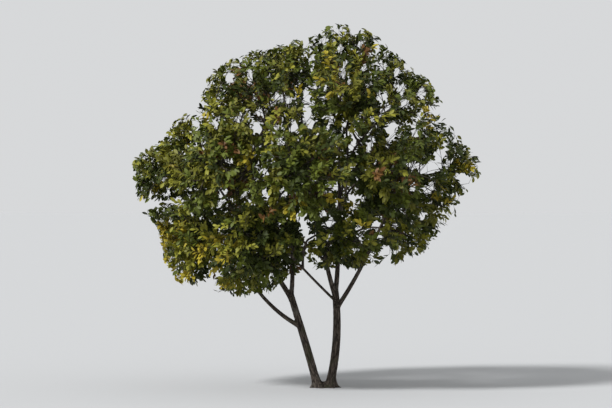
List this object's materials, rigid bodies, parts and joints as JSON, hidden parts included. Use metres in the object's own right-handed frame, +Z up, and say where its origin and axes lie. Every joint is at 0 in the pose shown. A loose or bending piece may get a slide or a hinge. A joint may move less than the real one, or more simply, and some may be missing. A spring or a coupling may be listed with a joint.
{
  "type": "twin-stemmed broadleaf tree",
  "caption": "Small rooted broadleaf tree with a round, full crown on two slender stems that part just above the ground, in early autumn leaf.",
  "frame": {"origin": "in the flat cut at ground level, at the middle of the root flare", "axes": "+Z up, +X to the right of the front view, +Y away from the front view"},
  "size_m": [4.8694, 4.6221, 5.0248],
  "materials": {
    "bark": "matt, furrowed grey-brown bark",
    "leaf_olive": "satin olive leaf",
    "leaf_green": "satin green leaf",
    "leaf_deep_green": "satin deep green leaf",
    "leaf_yellow": "satin leaf turning yellow",
    "leaf_russet": "satin leaf turning russet"
  },
  "bodies": {
    "root": {"root_flare": "bark", "left_stem": "bark", "right_stem": "bark", "bough_top_1": "bark", "bough_top_2": "bark", "bough_top_3": "bark", "bough_high_1": "bark", "bough_high_2": "bark", "bough_high_3": "bark", "bough_high_4": "bark", "bough_high_5": "bark", "bough_high_6": "bark", "bough_middle_1": "bark", "bough_middle_2": "bark", "bough_middle_3": "bark", "bough_middle_4": "bark", "bough_middle_5": "bark", "bough_middle_6": "bark", "bough_middle_7": "bark", "bough_middle_8": "bark", "bough_low_1": "bark", "bough_low_2": "bark", "bough_low_3": "bark", "bough_low_4": "bark", "bough_low_5": "bark", "bough_low_6": "bark", "bough_under_1": "bark", "bough_under_2": "bark", "leaves_top_1": "leaf_olive", "leaves_top_2": "leaf_olive", "leaves_top_3": "leaf_olive", "leaves_high_1": "leaf_green", "leaves_high_2": "leaf_green", "leaves_high_3": "leaf_green", "leaves_high_4": "leaf_green", "leaves_high_5": "leaf_green", "leaves_high_6": "leaf_green", "leaves_middle_1": "leaf_deep_green", "leaves_middle_2": "leaf_deep_green", "leaves_middle_3": "leaf_deep_green", "leaves_middle_4": "leaf_deep_green", "leaves_middle_5": "leaf_deep_green", "leaves_middle_6": "leaf_deep_green", "leaves_middle_7": "leaf_deep_green", "leaves_middle_8": "leaf_deep_green", "leaves_low_1": "leaf_yellow", "leaves_low_2": "leaf_yellow", "leaves_low_3": "leaf_yellow", "leaves_low_4": "leaf_yellow", "leaves_low_5": "leaf_yellow", "leaves_low_6": "leaf_yellow", "leaves_under_1": "leaf_russet", "leaves_under_2": "leaf_russet"}
  },
  "joints": []
}
